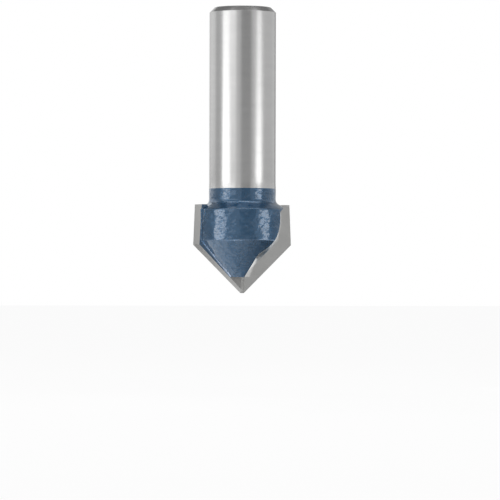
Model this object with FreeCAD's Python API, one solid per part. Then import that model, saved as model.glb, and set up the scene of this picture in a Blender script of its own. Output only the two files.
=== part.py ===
import FreeCAD, Part
import math
import os

from FreeCAD import Vector

# Cutting edges
cutting_diameter = 19.05
cutting_length = 16.88
point_angle_deg = 90.0
point_flat_width = 0.68
side_taper_deg = 2.3

# Carbide tips
tip_width = 2.3
tip_point_thickness = 1.35
seat_radial_lean_deg = 3.15
seat_axial_lean_deg = 2.05
side_relief_deg = 20.0
vee_relief_deg = 16.0
flat_relief_deg = 19.0
inner_end_lean_deg = 31.0

# Braze
braze_gap = 0.1
bead_radius = 0.22

# Shank
overall_length = 54.54
shank_diameter = 12.7
shank_chamfer = 0.95
neck_fillet = 1.0

# Head
head_clearance = 0.925
shoulder_height = 15.93
shoulder_slope_deg = 30.0
head_cone_half_angle_deg = 39.4
nose_height = 3.08
nose_clearance = 0.52
head_edge_round = 0.25

# Gullets
gullet_root_radius = 1.0
gullet_top_rise = 0.1
gullet_top_radius = 1.0
gullet_bend_rise = 1.0
gullet_bend_share = 0.82
gullet_run_slope_deg = 33.0
gullet_corner_radius = 1.5
gullet_nose_slope_deg = 25.0
gullet_nose_offset = 0.16
gullet_end_height = 2.4

# Places worked out from the sizes above
cutting_radius = cutting_diameter / 2
shank_radius = shank_diameter / 2
flat_half = point_flat_width / 2
half_point = math.radians(point_angle_deg / 2)
vee_height = (cutting_radius - flat_half) / math.tan(half_point)
side_taper = math.radians(side_taper_deg)
head_radius = cutting_radius - head_clearance
nose_radius = flat_half + nose_height * math.tan(half_point) - nose_clearance
cone_top = nose_height + (head_radius - nose_radius) / math.tan(math.radians(head_cone_half_angle_deg))
neck_height = shoulder_height + (head_radius - shank_radius) * math.tan(math.radians(shoulder_slope_deg))
radial_lean = math.tan(math.radians(seat_radial_lean_deg))
axial_lean = math.tan(math.radians(seat_axial_lean_deg))
tip_inner_x = cutting_radius - tip_width
seat_inner_x = tip_inner_x - braze_gap
seat_top = cutting_length + braze_gap
gullet_wall_x = seat_inner_x - gullet_root_radius
gullet_top = shoulder_height + gullet_top_rise
gullet_bend_height = vee_height + gullet_bend_rise

AXIS = Vector(0, 0, 1)
CENTRE = Vector(0, 0, 0)
beyond = 2 * cutting_radius
nearly = 1e-6


def half_turn(shape):
    copy = shape.copy()
    copy.rotate(CENTRE, AXIS, 180)
    return copy


def flat_point(x, z, y=0.0):
    return Vector(x, y, z)


def prism(points, y_start, y_end):
    wire = Part.makePolygon([flat_point(x, z, y_start) for x, z in points + points[:1]])
    return Part.Face(wire).extrude(Vector(0, y_end - y_start, 0))


def rounded_wire(points, radii):
    """A closed outline in the XZ plane whose corners are arcs where a radius is given."""
    count = len(points)
    corners = []
    for index, (x, z) in enumerate(points):
        corner = flat_point(x, z)
        before = (flat_point(*points[index - 1]) - corner).normalize()
        after = (flat_point(*points[(index + 1) % count]) - corner).normalize()
        radius = radii[index]
        if radius == 0:
            corners.append((corner, None, corner))
            continue
        half_turn_angle = before.getAngle(after) / 2
        reach = radius / math.tan(half_turn_angle)
        bisector = (before + after).normalize()
        centre = corner + bisector * (radius / math.sin(half_turn_angle))
        middle = centre - bisector * radius
        corners.append((corner + before * reach, middle, corner + after * reach))
    edges = []
    for index, (start, middle, end) in enumerate(corners):
        if middle is not None:
            edges.append(Part.Arc(start, middle, end).toShape())
        edges.append(Part.LineSegment(end, corners[(index + 1) % count][0]).toShape())
    return Part.Wire(edges)


def seat_depth(x, z):
    """How far the back of a tip lies behind its rake face."""
    return tip_point_thickness + radial_lean * x + axial_lean * z


def trim(shape, point, normal):
    """Cuts away what lies beyond the plane through the point, on the normal's side."""
    normal = Vector(normal).normalize()
    block = Part.makeBox(4 * beyond, 4 * beyond, 4 * beyond, Vector(-2 * beyond, -2 * beyond, 0))
    block.Placement = FreeCAD.Placement(point, FreeCAD.Rotation(AXIS, normal)).multiply(block.Placement)
    return shape.cut(block)


# The outline of a tip and the outline of its seat, seen on the rake face
def inner_height(x, width):
    """Where the inner side of the vee leg stands at x, for a tip of this width."""
    along = (x - flat_half + width * math.cos(half_point)) / math.sin(half_point)
    return width * math.sin(half_point) + along * math.cos(half_point)


side_edge_top = cutting_radius - (cutting_length - vee_height) * math.tan(side_taper)
tip_outline = [
    (-flat_half, 0),
    (flat_half, 0),
    (cutting_radius, vee_height),
    (side_edge_top, cutting_length),
    (tip_inner_x, cutting_length),
    (tip_inner_x, inner_height(tip_inner_x, tip_width)),
    (-flat_half, inner_height(-flat_half, tip_width)),
]
seat_outline = [
    (-flat_half, -beyond),
    (beyond, -beyond),
    (beyond, seat_top),
    (seat_inner_x, seat_top),
    (seat_inner_x, inner_height(seat_inner_x, tip_width + braze_gap)),
    (-flat_half, inner_height(-flat_half, tip_width + braze_gap)),
]
seat_normal = Vector(-radial_lean, 1, -axial_lean)


def seat_block(outline, front, gap):
    """What lies over an outline, from the front down to the leaning floor of the seat."""
    return trim(prism(outline, front, beyond), flat_point(0, 0, tip_point_thickness + gap), seat_normal)


# The turned steel: shank, neck, shoulder, head and cone, before milling
def turned_steel():
    outline = [
        (0, nose_height),
        (nose_radius, nose_height),
        (head_radius, cone_top),
        (head_radius, shoulder_height),
        (shank_radius, neck_height),
        (shank_radius, overall_length - shank_chamfer),
        (shank_radius - shank_chamfer, overall_length),
        (0, overall_length),
    ]
    rounds = [0, 0, head_edge_round, head_edge_round, neck_fillet, 0, 0, 0]
    return Part.Face(rounded_wire(outline, rounds)).revolve(CENTRE, AXIS, 360)


# The wheel that grinds a rake face and the gullet in front of it
def gullet_wheel():
    run_lean = math.radians(gullet_run_slope_deg)
    nose_lean = math.radians(gullet_nose_slope_deg)
    run_start = gullet_bend_height - gullet_wall_x * math.tan(run_lean)
    corner_x = (run_start - nose_height) * math.tan(nose_lean) - gullet_nose_offset
    corner_x /= 1 - math.tan(run_lean) * math.tan(nose_lean)
    corner_z = run_start + corner_x * math.tan(run_lean)
    right_angle = math.pi / 2
    corner_reach = gullet_corner_radius * math.tan((right_angle - run_lean - nose_lean) / 2)
    room_on_run = (gullet_wall_x - corner_x) / math.cos(run_lean) - corner_reach
    room_on_wall = gullet_top - gullet_top_radius - gullet_bend_height
    bend_reach = gullet_bend_share * min(room_on_run, room_on_wall)
    bend_radius = bend_reach / math.tan((right_angle - run_lean) / 2)
    path = [
        (beyond, gullet_top),
        (gullet_wall_x, gullet_top),
        (gullet_wall_x, gullet_bend_height),
        (corner_x, corner_z),
        (-gullet_nose_offset - (nose_height - gullet_end_height) * math.tan(nose_lean), gullet_end_height),
        (beyond, gullet_end_height),
    ]
    radii = [0, gullet_top_radius, bend_radius, gullet_corner_radius, 0, 0]
    wheel = Part.Face(rounded_wire(path, radii)).extrude(Vector(0, -beyond, 0))
    rim = []
    for edge in wheel.Edges:
        ends = [edge.valueAt(edge.FirstParameter), edge.valueAt(edge.LastParameter)]
        on_floor = all(abs(end.y) < nearly for end in ends)
        at_end = all(abs(end.z - gullet_end_height) < nearly for end in ends)
        far_out = all(abs(end.x - beyond) < nearly for end in ends)
        if on_floor and not at_end and not far_out:
            rim.append(edge)
    return wheel.makeFillet(gullet_root_radius, rim)


def ground_zone():
    """The stretch beside the vee, where the root of the gullet runs over the inner edge of a tip."""
    corner = Vector(-beyond, -beyond, nose_height)
    return Part.makeBox(2 * beyond, 2 * beyond, gullet_bend_height - nose_height, corner)


# A carbide tip as pressed: the plate, with its relief, and the stock that the wheel leaves
def tip_blank():
    plate = seat_block(tip_outline, 0, 0)
    edge_corner = flat_point(cutting_radius, vee_height)
    vee_relief = math.tan(math.radians(vee_relief_deg))
    side_relief = math.tan(math.radians(side_relief_deg))
    flat_relief = math.tan(math.radians(flat_relief_deg))
    plate = trim(plate, edge_corner, (math.cos(half_point), vee_relief, -math.sin(half_point)))
    plate = trim(plate, edge_corner, (math.cos(side_taper), side_relief, math.sin(side_taper)))
    plate = trim(plate, CENTRE, (0, flat_relief, -1))
    lean = math.tan(math.radians(inner_end_lean_deg))
    inner_end = [
        Vector(-flat_half, 0, -nose_height),
        Vector(-flat_half + beyond * lean, beyond, -nose_height),
        Vector(-beyond, beyond, -nose_height),
        Vector(-beyond, 0, -nose_height),
        Vector(-flat_half, 0, -nose_height),
    ]
    plate = plate.cut(Part.Face(Part.makePolygon(inner_end)).extrude(Vector(0, 0, 2 * nose_height)))
    return plate.fuse(prism(tip_outline, -gullet_root_radius, 0).common(ground_zone()))


# The bead of braze in the corner between the back of a tip and the turned head
def corner_point(z):
    if z < cone_top:
        radius = nose_radius + (z - nose_height) * (head_radius - nose_radius) / (cone_top - nose_height)
    else:
        radius = head_radius
    rise = seat_depth(0, z)
    spread = 1 + radial_lean**2
    x = (math.sqrt(spread * radius**2 - rise**2) - radial_lean * rise) / spread
    return flat_point(x, z, seat_depth(x, z))


def bead():
    foot = corner_point(nose_height)
    knee = corner_point(cone_top)
    head = corner_point(shoulder_height)
    leg = Part.makeCylinder(bead_radius, foot.distanceToPoint(knee), foot, knee - foot)
    side = Part.makeCylinder(bead_radius, knee.distanceToPoint(head), knee, head - knee)
    return leg.fuse([Part.makeSphere(bead_radius, knee), side])


wheel = gullet_wheel()
other_wheel = half_turn(wheel)
turned = turned_steel()
seat = seat_block(seat_outline, -beyond, braze_gap)
blank = tip_blank()

steel_body = turned.cut([seat, wheel, half_turn(seat), other_wheel]).removeSplitter()
tip = blank.cut([wheel, other_wheel]).removeSplitter()
other_tip = half_turn(tip)
filling = seat_block(seat_outline, 0, braze_gap)
filling = filling.fuse(prism(seat_outline, -gullet_root_radius, 0).common(ground_zone()))
filling = filling.common(turned).cut([blank, wheel, other_wheel])
joint = filling.fuse(bead()).cut([steel_body, tip, other_tip]).removeSplitter()

parts = {
    "steel_body": steel_body,
    "carbide_tip_1": tip,
    "carbide_tip_2": other_tip,
    "braze_joint_1": joint,
    "braze_joint_2": half_turn(joint),
}

os.makedirs("parts", exist_ok=True)
for name, shape in parts.items():
    shape.exportStep(os.path.join("parts", name + ".step"))
    print(name, shape.isValid(), len(shape.Solids), round(shape.Volume, 2), "mm3")
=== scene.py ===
import math

import bmesh
import bpy
from mathutils import Matrix, Vector, noise


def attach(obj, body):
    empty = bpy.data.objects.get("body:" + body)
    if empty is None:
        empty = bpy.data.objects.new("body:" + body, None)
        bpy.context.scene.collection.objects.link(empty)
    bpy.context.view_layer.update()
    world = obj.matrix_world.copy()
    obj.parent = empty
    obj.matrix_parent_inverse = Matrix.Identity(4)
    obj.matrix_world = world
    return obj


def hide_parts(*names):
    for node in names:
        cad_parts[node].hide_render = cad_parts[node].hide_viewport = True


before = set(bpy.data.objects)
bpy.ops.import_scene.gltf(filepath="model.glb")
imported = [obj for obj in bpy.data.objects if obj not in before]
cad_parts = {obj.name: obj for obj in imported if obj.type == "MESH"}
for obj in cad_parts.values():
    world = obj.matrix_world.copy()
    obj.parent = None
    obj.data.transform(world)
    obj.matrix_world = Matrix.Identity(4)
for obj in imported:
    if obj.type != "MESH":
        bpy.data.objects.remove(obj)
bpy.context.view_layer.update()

# ---------------------------------------------------------------------------
# Camera. A long lens far off, level with the point of the bit and a little to
# its left, which looks up by a little over half a degree.
camera_azimuth = math.radians(-11.5)
camera_distance = 0.649
camera_height = 0.00133
camera_pitch = math.radians(0.61)
camera_yaw = math.radians(0.132)
camera_roll = math.radians(0.13)

camera_data = bpy.data.cameras.new("camera")
camera_data.lens = 244.6
camera_data.sensor_width = 36.0
camera_data.clip_start = 0.01
camera = bpy.data.objects.new("camera", camera_data)
heading = camera_azimuth - camera_yaw
level_back = Vector((math.sin(heading), -math.cos(heading), 0))
backward = level_back * math.cos(camera_pitch) - Vector((0, 0, math.sin(camera_pitch)))
stand = Vector((math.sin(camera_azimuth), -math.cos(camera_azimuth), 0)) * camera_distance
stand.z = camera_height
sight = backward.to_track_quat("Z", "Y").to_matrix().to_4x4()
camera.matrix_world = Matrix.Translation(stand) @ Matrix.Rotation(camera_roll, 4, backward) @ sight
bpy.context.scene.collection.objects.link(camera)
bpy.context.scene.camera = camera
bpy.context.scene.view_settings.view_transform = "Standard"

# ---------------------------------------------------------------------------
# Studio. A white backdrop all round, soft boxes at both sides and above, and
# matt cards that only reflections see, which shape the tones of steel and enamel.
backdrop_white = (1, 1, 1, 1)
room_grey = (0.3, 0.3, 0.305, 1)
object_middle = Vector((0, 0, 0.027))
floor_height = -0.02
card_distance = 0.3
card_middle = 0.024
card_top = 0.25
front_distance = 1.25
ceiling = 0.42


def set_inputs(tree, node, inputs):
    """Sets the inputs of a node to values, or links them to the outputs of others."""
    for socket, value in inputs.items():
        if isinstance(value, bpy.types.NodeSocket):
            tree.links.new(value, node.inputs[socket])
        else:
            node.inputs[socket].default_value = value


def add_node(tree, kind, inputs=None, **settings):
    """A new node with its settings and its inputs."""
    node = tree.nodes.new("ShaderNode" + kind)
    for setting, value in settings.items():
        setattr(node, setting, value)
    set_inputs(tree, node, inputs or {})
    return node


def calculate(tree, operation, *values):
    """One step of arithmetic on values or on the outputs of nodes."""
    return add_node(tree, "Math", dict(enumerate(values)), operation=operation).outputs[0]


def mix_shaders(tree, share, shader, other):
    return add_node(tree, "MixShader", {0: share, 1: shader, 2: other}).outputs[0]


def shows_backdrop(tree):
    """One for a ray that shows the backdrop: from the camera, off gloss or through glass."""
    ray = add_node(tree, "LightPath").outputs
    seen = calculate(tree, "MAXIMUM", ray["Is Camera Ray"], ray["Is Glossy Ray"])
    return calculate(tree, "MAXIMUM", seen, ray["Is Transmission Ray"])


def add_object(name, content):
    piece = bpy.data.objects.new(name, content)
    bpy.context.scene.collection.objects.link(piece)
    return piece


def round_the_object(azimuth_deg, distance, height):
    azimuth = math.radians(azimuth_deg)
    return Vector((math.sin(azimuth) * distance, -math.cos(azimuth) * distance, height))


def soft_box(name, azimuth_deg, distance, height, width, tall, watts):
    """A rectangular lamp that faces the middle of the object."""
    lamp = bpy.data.lights.new(name, "AREA")
    lamp.shape = "RECTANGLE"
    lamp.size = width
    lamp.size_y = tall
    lamp.energy = watts
    box = add_object(name, lamp)
    box.location = round_the_object(azimuth_deg, distance, height)
    box.rotation_euler = (box.location - object_middle).to_track_quat("Z", "Y").to_euler()


def card(name, low, high, grey, other_grey=None):
    """An upright or flat card between two corners, whose grey may change along x."""
    mesh = bpy.data.meshes.new(name)
    if low[2] == high[2]:
        corners = [low, (high[0], low[1], low[2]), high, (low[0], high[1], low[2])]
    else:
        corners = [low, (high[0], high[1], low[2]), high, (low[0], low[1], high[2])]
    mesh.from_pydata(corners, [], [(0, 1, 2, 3)])
    sheet = add_object(name, mesh)
    paint = bpy.data.materials.new(name)
    paint.use_nodes = True
    tree = paint.node_tree
    if other_grey is not None:
        place = add_node(tree, "TexCoord").outputs["Object"]
        along = add_node(tree, "SeparateXYZ", {0: place}).outputs["X"]
        grey = add_node(
            tree, "MapRange", {0: along, 1: low[0], 2: high[0], 3: grey, 4: other_grey},
            interpolation_type="SMOOTHSTEP",
        ).outputs[0]
    glow = add_node(tree, "Emission", {"Strength": grey})
    tree.links.new(glow.outputs[0], tree.nodes["Material Output"].inputs["Surface"])
    mesh.materials.append(paint)
    sheet.visible_camera = False
    sheet.visible_shadow = False
    sheet.visible_diffuse = False


world = bpy.data.worlds.new("studio")
bpy.context.scene.world = world
world.use_nodes = True
sky = world.node_tree
room = sky.nodes["Background"]
room.inputs["Color"].default_value = room_grey
backdrop = add_node(sky, "Background", {"Color": backdrop_white})
all_round = mix_shaders(sky, shows_backdrop(sky), room.outputs[0], backdrop.outputs[0])
sky.links.new(all_round, sky.nodes["World Output"].inputs["Surface"])

# Each lamp's azimuth in degrees, distance, height, width and length, and watts.
soft_boxes = [
    ("left_box", -72.3, 1.0, 0.05, 0.42, 1.5, 2.6),
    ("left_low", -70, 0.6, 0.014, 0.32, 0.055, 0.195),
    ("left_fill", -47, 1.0, 0.43, 0.54, 0.8, 1.3),
    ("right_box", 48.5, 1.0, 0.05, 0.3, 1.5, 1.15),
    ("right_low", 49.0, 0.6, 0.01, 0.34, 0.055, 0.21),
    ("top_front", -4.0, 0.19, 0.35, 0.2, 0.2, 0.34),
    ("top_left", -72.0, 0.19, 0.35, 0.2, 0.2, 0.26),
    ("top_right", 58.0, 0.19, 0.35, 0.2, 0.2, 0.22),
]
for box in soft_boxes:
    soft_box(*box)

# Cards far off in front, and two above. The greys of all cards are strengths of light.
card(
    "front_card", round_the_object(-17, front_distance, 0.06),
    round_the_object(20, front_distance, 0.85), 0.5,
)
card(
    "front_low_card", round_the_object(-17, front_distance, floor_height),
    round_the_object(20, front_distance, 0.06), 0.6,
)
card("front_ceiling_card", (-0.6, -0.5, ceiling), (0.6, 0.07, ceiling), 0.38)
card("rear_ceiling_card", (-0.5, 0.08, ceiling), (0.5, 0.75, ceiling), 0.32)

# Upright cards round the bit: the azimuths of both ends, bottom, top and grey.
upright_cards = [
    ("left_a", -92, -118, floor_height, card_middle, 0.6),
    ("left_gap", -118, -131, floor_height, card_middle, 0.42),
    ("left_b", -131, -165, floor_height, card_middle, 0.45),
    ("right_gap", 58, 94, floor_height, card_middle, 0.6),
    ("right", 96, 160, floor_height, card_middle, 0.6),
    ("left_tall_a", -92, -117, card_middle, card_top, 0.84),
    ("left_tall_b", -118, -150, card_middle, card_top, 1.3),
    ("right_tall", 136, 168, card_middle, card_top, 0.45),
]
for side, start, end, bottom, top, grey in upright_cards:
    low = round_the_object(start, card_distance, bottom)
    card("card_" + side, low, round_the_object(end, card_distance, top), grey)

# Cards that lie on the floor: two corners, and the greys at their left and right ends.
low_card_height = floor_height + 0.001
flat_cards = [
    ("under", -0.035, -0.028, 0.035, 0.03, 1.35, 0.15),
    ("right_front", -0.005, -0.08, 0.055, -0.028, 0.35, 0.12),
    ("far_right", 0.06, -0.13, 0.14, 0.06, 2.6, 2.6),
    ("left_back", -0.12, 0.03, 0.02, 0.14, 0.22, 0.2),
    ("left_front", -0.08, -0.07, -0.005, -0.03, 1.3, 1.1),
]
for side, x, y, far_x, far_y, grey, other_grey in flat_cards:
    low = (x, y, low_card_height)
    card("card_" + side, low, (far_x, far_y, low_card_height), grey, other_grey)

# A bright one that the edge between head and cone mirrors, and stripes for the cone.
glint_height = floor_height + 0.002
card("edge_glint", (-0.03, -0.046, glint_height), (-0.008, -0.032, glint_height), 7.0)
stripe_height = low_card_height + 0.0005
stripe_depth = 0.004
for index, y in enumerate((-0.024, -0.015, -0.006, 0.003, 0.012, 0.021)):
    low = (-0.035, y, stripe_height)
    card(f"stripe_{index}", low, (0.035, y + stripe_depth, stripe_height), 2.15, 0.3)

# ---------------------------------------------------------------------------
# Steel body. One bar of steel, turned to shank, neck, head and cone. The head is
# dipped in blue enamel, then the seats of the tips are milled out of it and a wheel
# grinds the two gullets. The sizes of body, tips and braze are in millimetres.
mm = 0.001
overall_length = 54.54
shank_radius = 6.35
shank_chamfer = 0.95
chamfer_edge_round = 0.05
neck_height = 17.229
neck_fillet = 1.0
head_radius = 8.6
head_edge_round = 0.25
shoulder_height = 15.93
cone_top = 10.02
nose_height = 3.08
nose_radius = 2.9
nose_edge_round = 0.1
sharp_angle = math.radians(32)
turns = 480
coarse_step = 1.2
fine_step = 0.12
line_step = 0.03

# The enamel: where it ends, how thick it is, and the size and rise of its lumps, each
# kind read at its own place in the noise. The cone has one kind more.
enamel_line = 19.93
line_overlap = 0.02
line_run_out = 0.1
enamel_thickness = 0.045
enamel_least = 0.012
enamel_lumps = [
    (2.3, 0.03, (0, 0, 0)), (0.95, 0.024, (0, 0, 0)), (0.42, 0.012, (0, 0, 0)),
    (0.2, 0.004, (7, 3, 5)),
]
cone_lumps = (0.8, 0.045, (2, 9, 4))
# The enamel ran down beside each plate: a run's turn in degrees and height at its top,
# both at its foot, and its rise. Three specks stand in it: place, size and rise.
enamel_runs = [(20.6, 16.3, 17.0, 14.4, 0.12), (25.3, 16.3, 21.3, 13.6, 0.1)]
run_width = 0.17
run_reach = 0.6
head_mm_per_degree = 0.15
paint_pimples = [
    ((-1.877, -5.476, 6.6), 0.18, 0.09), ((-0.9, -8.55, 12.9), 0.2, 0.05),
    ((4.3, -7.4, 15.0), 0.2, 0.05),
]


def rounded_profile(corners, rounds, steps=6):
    """A polyline through the corners, each rounded off by an arc of its radius."""
    line = [Vector(corners[0])]
    for before, corner, after, radius in zip(corners, corners[1:], corners[2:], rounds[1:]):
        before, corner, after = Vector(before), Vector(corner), Vector(after)
        if radius == 0:
            line.append(corner)
            continue
        back, on = (before - corner).normalized(), (after - corner).normalized()
        half = back.angle(on) / 2
        middle = (back + on).normalized()
        centre = corner + middle * (radius / math.sin(half))
        start = corner + back * (radius / math.tan(half))
        end = corner + on * (radius / math.tan(half))
        for step in range(steps + 1):
            spoke = (start - centre).normalized().slerp((end - centre).normalized(), step / steps)
            line.append(centre + spoke * radius)
    line.append(Vector(corners[-1]))
    return line


def spaced(line, step_at):
    """Points along a polyline, no farther apart than step_at says for their height."""
    points = [line[0]]
    for start, end in zip(line, line[1:]):
        length = (end - start).length
        parts = max(1, math.ceil(length / step_at((start.y + end.y) / 2)))
        points += [start.lerp(end, part / parts) for part in range(1, parts + 1)]
    return points


def body_step(height):
    """Coarse on the bare shank, fine on the enamel, and finest round the enamel's edge."""
    if height > enamel_line + 0.3:
        return coarse_step
    if height > enamel_line - 0.2:
        return line_step
    return fine_step


body_corners = [
    (0, nose_height), (nose_radius, nose_height), (head_radius, cone_top),
    (head_radius, shoulder_height), (shank_radius, neck_height),
    (shank_radius, enamel_line), (shank_radius, overall_length - shank_chamfer),
    (shank_radius - shank_chamfer, overall_length), (0, overall_length),
]
body_rounds = [
    0, nose_edge_round, head_edge_round, head_edge_round, neck_fillet,
    0, chamfer_edge_round, chamfer_edge_round, 0,
]
body_profile = spaced(rounded_profile(body_corners, body_rounds), body_step)
outward = []
for row in range(len(body_profile)):
    before = body_profile[max(row - 1, 0)]
    after = body_profile[min(row + 1, len(body_profile) - 1)]
    along = (after - before).normalized()
    outward.append(Vector((along.y, -along.x)))


def lump(spot, size, rise, apart):
    return noise.noise(spot / size + Vector(apart)) * rise


def enamelled(row, spot):
    """Lifts a point of the turned bar by the thickness of the enamel, which is uneven."""
    below_line = enamel_line - spot.z
    if below_line < -line_overlap:
        return spot
    cover = min(1, max(0, (below_line + line_overlap) / line_run_out))
    cover = math.sqrt(cover * (2 - cover))
    lumps = sum(lump(spot, *kind) for kind in enamel_lumps)
    if spot.z < cone_top:
        lumps += lump(spot, *cone_lumps) * min(1, cone_top - spot.z)
    thickness = max(enamel_least, enamel_thickness + lumps) * cover
    turn_deg = math.degrees(math.atan2(spot.y, spot.x)) % 180
    for top_deg, top, foot_deg, foot, rise in enamel_runs:
        share = (top - spot.z) / (top - foot)
        aside = (turn_deg - top_deg - share * (foot_deg - top_deg)) * head_mm_per_degree
        if 0 < share < 1 and abs(aside) < run_reach:
            swell = math.sin(math.pi * share) ** 0.7
            thickness += rise * swell * math.exp(-((aside / run_width) ** 2))
    for place, size, rise in paint_pimples:
        thickness += rise * math.exp(-(((spot - Vector(place)).length / size) ** 2))
    radial = Vector((spot.x, spot.y, 0)).normalized()
    normal = radial * outward[row].x + Vector((0, 0, outward[row].y))
    return spot + normal * thickness


def revolved(name, profile, count, place):
    """A closed solid of revolution, each point of which is moved by place."""
    mesh = bmesh.new()
    rings = []
    for row, point in enumerate(profile):
        if point.x < 1e-6:
            rings.append([mesh.verts.new((0, 0, point.y))])
            continue
        ring = []
        for index in range(count):
            angle = 2 * math.pi * index / count
            spot = Vector((point.x * math.cos(angle), point.x * math.sin(angle), point.y))
            ring.append(mesh.verts.new(place(row, spot)))
        rings.append(ring)
    for low, high in zip(rings, rings[1:]):
        for index in range(count):
            following = (index + 1) % count
            if len(low) == 1:
                mesh.faces.new((low[0], high[following], high[index]))
            elif len(high) == 1:
                mesh.faces.new((low[index], low[following], high[0]))
            else:
                mesh.faces.new((low[index], low[following], high[following], high[index]))
    data = bpy.data.meshes.new(name)
    mesh.to_mesh(data)
    mesh.free()
    return add_object(name, data)


def new_finish(name):
    """A node material, with its tree, its shader and the place on the piece."""
    finish = bpy.data.materials.new(name)
    finish.use_nodes = True
    tree = finish.node_tree
    place = add_node(tree, "TexCoord").outputs["Object"]
    return finish, tree, tree.nodes["Principled BSDF"], place


def speckle(tree, place, stretch, scale, detail=3.0, roughness=0.6):
    """Noise over the piece, stretched by a factor along each axis."""
    spread = add_node(tree, "Mapping", {"Vector": place, "Scale": stretch}).outputs[0]
    return add_node(
        tree, "TexNoise",
        {"Vector": spread, "Scale": scale, "Detail": detail, "Roughness": roughness},
    ).outputs["Fac"]


def between(tree, value, low, high, to_low, to_high):
    """Maps a value from one range to another, and clamps it there."""
    node = add_node(tree, "MapRange", {0: value, 1: low, 2: high, 3: to_low, 4: to_high})
    return node.outputs[0]


def tint(tree, share, colour, other):
    """Mixes two colours by a share. Each is a value or the output of a node."""
    colours = [(*side, 1) if isinstance(side, tuple) else side for side in (colour, other)]
    mixed = add_node(tree, "Mix", {0: share, 6: colours[0], 7: colours[1]}, data_type="RGBA")
    return mixed.outputs[2]


def raise_surface(tree, height, strength, distance, under=None):
    """A bump of the given height in metres, laid over another one."""
    node = add_node(tree, "Bump", {"Height": height, "Strength": strength, "Distance": distance})
    if under:
        tree.links.new(under, node.inputs["Normal"])
    return node.outputs[0]


# The shank is centreless ground: fine rings of scratches, a little uneven in tone.
shank_dark = (0.38, 0.38, 0.38)
shank_light = (0.43, 0.428, 0.425)
shank_finish, tree, shader, spot = new_finish("ground_shank")
rings = speckle(tree, spot, (1, 1, 40), 260, 4.0, 0.7)
grain = speckle(tree, spot, (1, 1, 1), 3000, 2.0)
mottle = speckle(tree, spot, (1, 1, 6), 180)
grain_bump = raise_surface(tree, grain, 0.15, 0.000003)
set_inputs(tree, shader, {
    "Base Color": tint(tree, mottle, shank_dark, shank_light),
    "Roughness": between(tree, rings, 0.3, 0.7, 0.19, 0.27),
    "Normal": raise_surface(tree, rings, 0.25, 0.000004, grain_bump),
    "Metallic": 1.0,
})

# The end of the shank is faced on a lathe, which leaves fine rings round the axis.
end_dark = (0.36, 0.36, 0.36)
end_light = (0.41, 0.41, 0.405)
end_finish, tree, shader, spot = new_finish("faced_end")
turned = add_node(
    tree, "TexWave",
    {"Vector": spot, "Scale": 900, "Distortion": 1.5, "Detail": 3.0, "Detail Scale": 2.0},
    wave_type="RINGS", rings_direction="Z",
).outputs["Fac"]
set_inputs(tree, shader, {
    "Base Color": tint(tree, turned, end_dark, end_light),
    "Roughness": between(tree, turned, 0.2, 0.8, 0.4, 0.5),
    "Normal": raise_surface(tree, turned, 0.3, 0.00001),
    "Metallic": 1.0,
})

# The enamel is a glossy blue lacquer that lets a little of the steel shine through.
enamel_dark = (0.008, 0.048, 0.105)
enamel_light = (0.019, 0.072, 0.146)
# A lighter colour in a band round the edge between head and cone: a painted highlight.
edge_highlight_dark = (0.16, 0.24, 0.36)
edge_highlight_light = (0.22, 0.30, 0.42)
edge_highlight_half = 0.2
edge_highlight_share = 0.25


def enamel(name, metallic, highlight_dark, highlight_light, highlight_height, highlight_half, highlight_share):
    """The lacquer, with a painted highlight: a lighter colour in a band round one height, along an
    edge or on a bead.
    """
    finish, tree, shader, spot = new_finish(name)
    cloud = speckle(tree, spot, (1, 1, 1), 420, 4.0)
    orange_peel = speckle(tree, spot, (1, 1, 1), 2200)
    height = add_node(tree, "SeparateXYZ", {0: spot}).outputs["Z"]
    away = calculate(tree, "ABSOLUTE", calculate(tree, "SUBTRACT", height, highlight_height * mm))
    highlight_band = between(tree, away, highlight_half * 0.4 * mm, highlight_half * mm, highlight_share, 0.0)
    plain_colour = tint(tree, cloud, enamel_dark, enamel_light)
    highlight_colour = tint(tree, cloud, highlight_dark, highlight_light)
    set_inputs(tree, shader, {
        "Base Color": tint(tree, highlight_band, plain_colour, highlight_colour),
        "Roughness": between(tree, cloud, 0.35, 0.65, 0.24, 0.36),
        "Normal": raise_surface(tree, orange_peel, 0.5, 0.000042),
        "Metallic": metallic,
        "Specular IOR Level": 0.3,
        "Specular Tint": (0.35, 0.55, 0.75, 1),
        "Coat Weight": 1.0,
        "Coat IOR": 1.52,
        "Coat Roughness": 0.1,
    })
    return finish


enamel_finish = enamel("blue_enamel", 0.5, edge_highlight_dark, edge_highlight_light, cone_top, edge_highlight_half, edge_highlight_share)

# Where the wheel has ground the gullet the steel is bare, with fine straight scratches.
# In the bend of each root a dark blue-grey patch is enamel left there and painted shade: place,
# turn and size of the first.
gullet_dark = (0.40, 0.405, 0.40)
gullet_light = (0.46, 0.46, 0.455)
smear_and_shade_colour = (0.07, 0.10, 0.13)
smear_and_shade_place = (4.6, -0.3, 7.8)
smear_and_shade_turn = math.radians(-43)
smear_and_shade_size = (3.0, 2.1, 1.4)
gullet_finish, tree, shader, spot = new_finish("ground_gullet")
scratches = speckle(tree, spot, (1, 1, 0.06), 5200, 3.0, 0.7)
mottle = speckle(tree, spot, (1, 1, 1), 300)
reaches = []
x, y, z = smear_and_shade_place
for turn in (1, -1):
    smear_and_shade_spot = add_node(
        tree, "Mapping",
        {
            "Vector": spot,
            "Location": (turn * x * mm, turn * y * mm, z * mm),
            "Rotation": (0, turn * smear_and_shade_turn, 0),
            "Scale": [size * mm for size in smear_and_shade_size],
        },
        vector_type="TEXTURE",
    ).outputs[0]
    reaches.append(add_node(tree, "VectorMath", {0: smear_and_shade_spot}, operation="LENGTH").outputs["Value"])
ragged = calculate(tree, "ADD", mottle, calculate(tree, "MINIMUM", *reaches))
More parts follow.
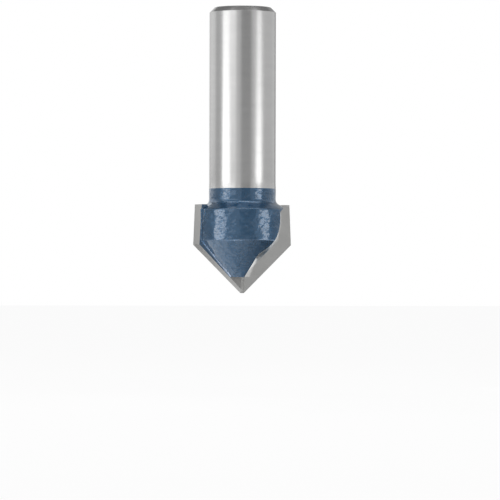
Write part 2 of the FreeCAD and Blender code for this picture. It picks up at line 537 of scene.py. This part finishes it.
# The dark patch in the root is enamel left there and painted shade.
smear_and_shade_share = between(tree, ragged, 0.7, 1.5, 0.9, 0.0)
steel_colour = tint(tree, mottle, gullet_dark, gullet_light)
set_inputs(tree, shader, {
    "Base Color": tint(tree, smear_and_shade_share, steel_colour, smear_and_shade_colour),
    "Roughness": between(tree, scratches, 0.3, 0.7, 0.26, 0.38),
    "Normal": raise_surface(tree, scratches, 0.3, 0.000006),
    "Metallic": 1.0,
})

body = revolved("steel_body_turned", body_profile, turns, enamelled)
body_finishes = [shank_finish, enamel_finish, gullet_finish, end_finish]
for finish in body_finishes:
    body.data.materials.append(finish)
for face in body.data.polygons:
    if face.center.z < enamel_line - 0.01:
        face.material_index = body_finishes.index(enamel_finish)
    elif face.center.z > overall_length - 0.01:
        face.material_index = body_finishes.index(end_finish)
# The turned bar is kept whole for a while, because the braze is fitted to it later.
blank = add_object("blank", body.data.copy())

# The seats are milled flat for the plates, so the sizes of the plates come first. A seat's
# floor leans, so that a plate is thicker outward and upward.
beyond = 20.0
point_flat_half = 0.34
cutting_radius = 9.525
cutting_length = 16.88
vee_height = 9.185
tip_width = 2.3
tip_inner_x = 7.225
tip_point_thickness = 1.35
radial_lean = math.tan(math.radians(3.15))
axial_lean = math.tan(math.radians(2.05))
braze_gap = 0.1
seat_width = tip_width + braze_gap
seat_inner_x = tip_inner_x - braze_gap
seat_top = cutting_length + braze_gap


def closed_mesh(name, rings, finish):
    """A closed mesh from rings of points, joined one to the next, and closed at both ends."""
    mesh = bmesh.new()
    made = [[mesh.verts.new(point) for point in ring] for ring in rings]
    for low, high in zip(made, made[1:]):
        count = len(low)
        for index in range(count):
            following = (index + 1) % count
            mesh.faces.new((low[index], low[following], high[following], high[index]))
    mesh.faces.new(list(reversed(made[0])))
    mesh.faces.new(made[-1])
    bmesh.ops.recalc_face_normals(mesh, faces=mesh.faces)
    bmesh.ops.triangulate(mesh, faces=[face for face in mesh.faces if len(face.verts) > 4])
    data = bpy.data.meshes.new(name)
    mesh.to_mesh(data)
    mesh.free()
    data.materials.append(finish)
    return add_object(name, data)


def seat_depth(x, z):
    """How far the back of a tip lies behind its rake face."""
    return tip_point_thickness + radial_lean * x + axial_lean * z


def inner_height(x, width):
    """Where the inner side of the leg of the vee stands at x, for a tip of this width."""
    along = (x - point_flat_half) * math.sqrt(2) + width
    return width / math.sqrt(2) + along / math.sqrt(2)


def plate_of(name, outline, front, gap, finish):
    """What lies over an outline, from the front down to the leaning floor of the seat."""
    near = [(x, front, z) for x, z in outline]
    far = [(x, seat_depth(x, z) + gap, z) for x, z in outline]
    return closed_mesh(name, [near, far], finish)


def half_turned(piece, name):
    """A copy of a piece for the other side of the bit."""
    twin = add_object(name, piece.data.copy())
    twin.data.transform(Matrix.Rotation(math.pi, 4, "Z"))
    return twin


seat_outline = [
    (-point_flat_half, -beyond), (beyond, -beyond), (beyond, seat_top), (seat_inner_x, seat_top),
    (seat_inner_x, inner_height(seat_inner_x, seat_width)),
    (-point_flat_half, inner_height(-point_flat_half, seat_width)),
]

# One wheel grinds each gullet: straight down, round a bend, down the cone at a slope, and
# past the nose. The corner is where the run down the cone meets the run past the nose.
root_radius = 1.6
root_steps = 15
arc_steps = 14
wall_x = 6.125
gullet_top = shoulder_height + 0.1
gullet_top_radius = 1.0
bend_height = vee_height + 1.0
bend_radius = 7.0
gullet_corner_radius = 1.5
run_slope = math.radians(33)
nose_slope = math.radians(25)
nose_offset = 0.16
run_start = bend_height - wall_x * math.tan(run_slope)
corner_x = (run_start - nose_height) * math.tan(nose_slope) - nose_offset
corner_x /= 1 - math.tan(run_slope) * math.tan(nose_slope)
corner_z = run_start + corner_x * math.tan(run_slope)
wheel_end = 2.4
wheel_end_x = -nose_offset - (nose_height - wheel_end) * math.tan(nose_slope)


def wheel_line(inset, top):
    """The wheel's outline in the rake plane, moved inward, always with as many points."""
    corners = [
        (beyond, top), (wall_x, top), (wall_x, bend_height), (corner_x, corner_z),
        (wheel_end_x, wheel_end),
    ]
    corners = [Vector(corner) for corner in corners]
    turned = [1, 1, -1, 1]
    rounds = [0, gullet_top_radius, bend_radius, gullet_corner_radius]
    moved = [Vector((beyond, top - inset))]
    for index in (1, 2, 3):
        before = (corners[index] - corners[index - 1]).normalized()
        after = (corners[index + 1] - corners[index]).normalized()
        inward, then = Vector((-before.y, before.x)), Vector((-after.y, after.x))
        moved.append(corners[index] + (inward + then) * (inset / (1 + inward.dot(then))))
    moved.append(Vector((wheel_end_x + inset / math.cos(nose_slope), wheel_end)))
    kept = [max(0.02, radius - turn * inset) for radius, turn in zip(rounds, turned)]
    return rounded_profile(moved, kept + [0], arc_steps) + [Vector((beyond, wheel_end))]


def grinding_wheel(name, top, finish):
    """The stock that the wheel takes out: a gullet wall, a round root and the rake plane."""
    outlines = [(wheel_line(0, top), -beyond)]
    for step in range(root_steps + 1):
        angle = step * math.pi / 2 / root_steps
        inset = root_radius * (1 - math.cos(angle))
        outlines.append((wheel_line(inset, top), -root_radius * (1 - math.sin(angle))))
    rings = [[(point.x, depth, point.y) for point in line] for line, depth in outlines]
    return closed_mesh(name, rings, finish)


def solve(target, cutter, operation):
    """Cuts, joins or crosses two closed meshes and keeps the result in the target."""
    step = target.modifiers.new("cut", "BOOLEAN")
    step.solver = "MANIFOLD"
    step.operation = operation
    step.object = cutter
    bpy.context.view_layer.update()
    graph = bpy.context.evaluated_depsgraph_get()
    result = bpy.data.meshes.new_from_object(target.evaluated_get(graph))
    target.modifiers.clear()
    target.data = result


wheel = grinding_wheel("wheel", gullet_top, gullet_finish)
other_wheel = half_turned(wheel, "other_wheel")
seat = plate_of("seat", seat_outline, -beyond, braze_gap, enamel_finish)
other_seat = half_turned(seat, "other_seat")
for cutter in (seat, other_seat, wheel, other_wheel):
    solve(body, cutter, "DIFFERENCE")
for cutter in (seat, other_seat, wheel, other_wheel):
    bpy.data.objects.remove(cutter)


def finish_piece(piece):
    """Brings a piece to metres and shades it smooth up to its sharp edges."""
    piece.data.transform(Matrix.Scale(mm, 4))
    piece.data.shade_smooth()
    piece.data.set_sharp_from_angle(angle=sharp_angle)


# The bead of braze is fitted to the body and the tip later, so a copy of each stays in
# millimetres until then.
ground_body = add_object("ground_body", body.data.copy())
finish_piece(body)
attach(body, "root")
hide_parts("steel_body")

# ---------------------------------------------------------------------------
# Carbide tips. Two plates of sintered carbide, brazed flat into their seats,
# then ground: the rake face in front, the relief behind each cutting edge, and
# the root of the gullet over their inner edge.
side_taper = math.radians(2.3)
side_relief = math.tan(math.radians(20))
vee_relief = math.tan(math.radians(16))
flat_relief = math.tan(math.radians(19))
inner_end_lean = math.tan(math.radians(31))
inner_end_low = -2
inner_end_high = 6
side_block_size = 40
nose_block_size = 30
enamel_start = nose_height + 0.03
tip_outline = [
    (-point_flat_half, 0), (point_flat_half, 0), (cutting_radius, vee_height),
    (cutting_radius - (cutting_length - vee_height) * math.tan(side_taper), cutting_length),
    (tip_inner_x, cutting_length), (tip_inner_x, inner_height(tip_inner_x, tip_width)),
    (-point_flat_half, inner_height(-point_flat_half, tip_width)),
]

# The ground faces are satin grey, with fine straight scratches.
carbide_dark = (0.33, 0.33, 0.325)
carbide_light = (0.39, 0.39, 0.385)
carbide_finish, tree, shader, spot = new_finish("ground_carbide")
scratches = speckle(tree, spot, (1, 0.3, 1), 5200, 3.0, 0.7)
mottle = speckle(tree, spot, (1, 1, 1), 420, 4.0)
set_inputs(tree, shader, {
    "Base Color": tint(tree, mottle, carbide_dark, carbide_light),
    "Roughness": between(tree, scratches, 0.3, 0.7, 0.32, 0.44),
    "Normal": raise_surface(tree, scratches, 0.2, 0.000006),
    "Metallic": 1.0,
})

# The back of a plate stays as it was sintered, darker and rougher than the ground faces.
sintered_dark = (0.20, 0.20, 0.20)
sintered_light = (0.25, 0.25, 0.247)
sintered_finish, tree, shader, spot = new_finish("sintered_carbide")
mottle = speckle(tree, spot, (1, 1, 1), 900, 4.0)
set_inputs(tree, shader, {
    "Base Color": tint(tree, mottle, sintered_dark, sintered_light),
    "Roughness": between(tree, mottle, 0.3, 0.7, 0.42, 0.55),
    "Metallic": 1.0,
})


def block(name, low, high):
    """A box between two corners, to cut with."""
    (x, y, z), (far_x, far_y, far_z) = low, high
    rings = [
        [(x, depth, z), (far_x, depth, z), (far_x, depth, far_z), (x, depth, far_z)]
        for depth in (y, far_y)
    ]
    return closed_mesh(name, rings, carbide_finish)


def trim(piece, point, normal):
    """Cuts away what lies beyond the plane through the point, on the normal's side."""
    size = side_block_size
    side = block("side", (-size, -size, 0), (size, size, size))
    lean = Vector(normal).to_track_quat("Z", "Y").to_matrix().to_4x4()
    side.data.transform(Matrix.Translation(point) @ lean)
    solve(piece, side, "DIFFERENCE")
    bpy.data.objects.remove(side)


tip = plate_of("carbide_plate_1", tip_outline, -root_radius, 0, carbide_finish)
size = nose_block_size
below_nose = block("below_nose", (-size, -size, -size), (size, 0, nose_height))
solve(tip, below_nose, "DIFFERENCE")
edge_corner = Vector((cutting_radius, 0, vee_height))
trim(tip, edge_corner, (math.sqrt(0.5), vee_relief, -math.sqrt(0.5)))
trim(tip, edge_corner, (math.cos(side_taper), side_relief, math.sin(side_taper)))
trim(tip, Vector((0, 0, 0)), (0, flat_relief, -1))

# The inner end slopes away behind the point, so that the two plates only meet in front.
end_start = -point_flat_half - beyond
end_rings = [
    [
        (end_start, depth, inner_end_low), (x, depth, inner_end_low),
        (x, depth, inner_end_high), (end_start, depth, inner_end_high),
    ]
    for x, depth in ((-point_flat_half, 0), (beyond * inner_end_lean - point_flat_half, beyond))
]
inner_end = closed_mesh("inner_end", end_rings, carbide_finish)
solve(tip, inner_end, "DIFFERENCE")
tip_wheel = grinding_wheel("tip_wheel", beyond, carbide_finish)
other_tip_wheel = half_turned(tip_wheel, "other_tip_wheel")
solve(tip, tip_wheel, "DIFFERENCE")
solve(tip, other_tip_wheel, "DIFFERENCE")
bpy.data.objects.remove(inner_end)

# The back that shows above the nose was enamelled with the head.
tip.data.materials.append(enamel_finish)
tip.data.materials.append(sintered_finish)
split = bmesh.new()
split.from_mesh(tip.data)
bmesh.ops.bisect_plane(
    split, geom=split.verts[:] + split.edges[:] + split.faces[:],
    plane_co=(0, 0, enamel_start), plane_no=(0, 0, 1),
)
back = Vector((-radial_lean, 1, -axial_lean)).normalized()
for face in split.faces:
    if face.normal.dot(back) > 0.999:
        coated = face.calc_center_median().z > nose_height
        back_finish = enamel_finish if coated else sintered_finish
        face.material_index = tip.data.materials.find(back_finish.name)
split.to_mesh(tip.data)
split.free()
other_tip = half_turned(tip, "carbide_plate_2")

ground_tip = add_object("ground_tip", tip.data.copy())
for plate, node in ((tip, "carbide_tip_1"), (other_tip, "carbide_tip_2")):
    finish_piece(plate)
    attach(plate, "root")
    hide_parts(node)

# ---------------------------------------------------------------------------
# Braze. A thin film of silver solder joins each plate to its seat, and a bead
# of it stands in the corner behind the plate, lumpy and covered by the enamel.
bead_radius = 0.24
bead_step = 0.12
bead_sides = 20
bead_ends = (nose_height - 0.1, shoulder_height + 0.25)
# The bead is wider on the cone and nearer to the plate, and swells at its top.
low_bead_radius = 0.36
low_bead_aside = -0.1
low_bead_start = cone_top + 0.6
top_swell = 0.3
top_swell_start = 13.4
top_swell_length = 2.2
lump_swells = [(1.1, 0.2), (0.4, 0.1)]

# Silver braze, which shows only where it is ground with the plate.
braze_dark = (0.50, 0.49, 0.45)
braze_light = (0.60, 0.59, 0.55)
braze_finish, tree, shader, spot = new_finish("silver_braze")
mottle = speckle(tree, spot, (1, 1, 1), 900, 4.0)
set_inputs(tree, shader, {
    "Base Color": tint(tree, mottle, braze_dark, braze_light),
    "Roughness": between(tree, mottle, 0.3, 0.7, 0.26, 0.42),
    "Metallic": 1.0,
})

# The enamel on the bead is painted lighter low on the cone, fading out towards the head: a painted
# highlight along the bead.
bead_highlight_dark = (0.10, 0.14, 0.21)
bead_highlight_light = (0.26, 0.32, 0.42)
bead_finish = enamel("bead_highlight_enamel", 0.7, bead_highlight_dark, bead_highlight_light, 0.0, cone_top, 1.0)


def corner_point(height):
    """The corner between the back of a tip and the enamelled head."""
    if height < cone_top:
        slope = (head_radius - nose_radius) / (cone_top - nose_height)
        radius = nose_radius + (height - nose_height) * slope
    else:
        radius = head_radius
    rise = seat_depth(0, height)
    spread = 1 + radial_lean**2
    x = (math.sqrt(spread * radius**2 - rise**2) - radial_lean * rise) / spread
    return Vector((x, seat_depth(x, height), height))


def bead_of(name):
    """A tube along the corner whose radius swells and shrinks as the solder ran."""
    knots = [corner_point(height) for height in (bead_ends[0], cone_top, bead_ends[1])]
    line = []
    for start, end in zip(knots, knots[1:]):
        parts = math.ceil((end - start).length / bead_step)
        line += [start.lerp(end, part / parts) for part in range(parts)]
    line.append(knots[-1])
    rings = []
    for index, centre in enumerate(line):
        along = (line[min(index + 1, len(line) - 1)] - line[max(index - 1, 0)]).normalized()
        side = along.cross(Vector((0, 1, 0))).normalized()
        up = side.cross(along)
        low = max(0, min(1, low_bead_start - centre.z))
        top = max(0, min(1, (centre.z - top_swell_start) / top_swell_length))
        swell = 1 + sum(noise.noise(centre / size) * share for size, share in lump_swells)
        ends = min(1, 0.35 + 0.3 * min(index, len(line) - 1 - index))
        radius = bead_radius + (low_bead_radius - bead_radius) * low
        radius *= swell + top_swell * top
        middle = centre - side * (low_bead_aside * low)
        ring = []
        for turn in range(bead_sides):
            angle = 2 * math.pi * turn / bead_sides
            spoke = side * (math.cos(angle) * radius) + up * (math.sin(angle) * radius)
            ring.append(middle + spoke * ends)
        rings.append(ring)
    return closed_mesh(name, rings, bead_finish)


film = plate_of("braze_joint_a", seat_outline, -root_radius, braze_gap, braze_finish)
film.data.materials.append(bead_finish)
plate = plate_of("plate", tip_outline, -root_radius, 0, braze_finish)
solve(film, below_nose, "DIFFERENCE")
solve(film, blank, "INTERSECT")
for cutter in (plate, tip_wheel, other_tip_wheel):
    solve(film, cutter, "DIFFERENCE")
bead = bead_of("bead")
solve(bead, ground_body, "DIFFERENCE")
solve(bead, ground_tip, "DIFFERENCE")
solve(film, bead, "UNION")
other_film = half_turned(film, "braze_joint_b")
scratch_pieces = [blank, ground_body, ground_tip, below_nose, tip_wheel, other_tip_wheel]
for scratch in scratch_pieces + [plate, bead]:
    bpy.data.objects.remove(scratch)

for joint, node in ((film, "braze_joint_1"), (other_film, "braze_joint_2")):
    finish_piece(joint)
    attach(joint, "root")
    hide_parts(node)

# ---------------------------------------------------------------------------
# Floor. A plain pale sheet below the point, which glows as white as the backdrop
# where it is looked at and takes a soft shadow. From below it isn't there.
floor_half = 3
floor_grey = (0.8, 0.8, 0.8, 1)
floor_glow = 0.94

floor_mesh = bpy.data.meshes.new("floor")
floor_corners = [
    (x * floor_half, y * floor_half, floor_height) for x, y in ((-1, -1), (1, -1), (1, 1), (-1, 1))
]
floor_mesh.from_pydata(floor_corners, [], [(0, 1, 2, 3)])
floor = add_object("floor", floor_mesh)
floor_finish, tree, shader, spot = new_finish("pale_floor")
set_inputs(tree, shader, {"Base Color": floor_grey, "Roughness": 0.9})
glow = add_node(tree, "Emission").outputs[0]
glow_share = calculate(tree, "MULTIPLY", shows_backdrop(tree), floor_glow)
pale = mix_shaders(tree, glow_share, shader.outputs[0], glow)
below = add_node(tree, "NewGeometry").outputs["Backfacing"]
clear = add_node(tree, "BsdfTransparent").outputs[0]
floor_surface = mix_shaders(tree, below, pale, clear)
tree.links.new(floor_surface, tree.nodes["Material Output"].inputs["Surface"])
floor_mesh.materials.append(floor_finish)
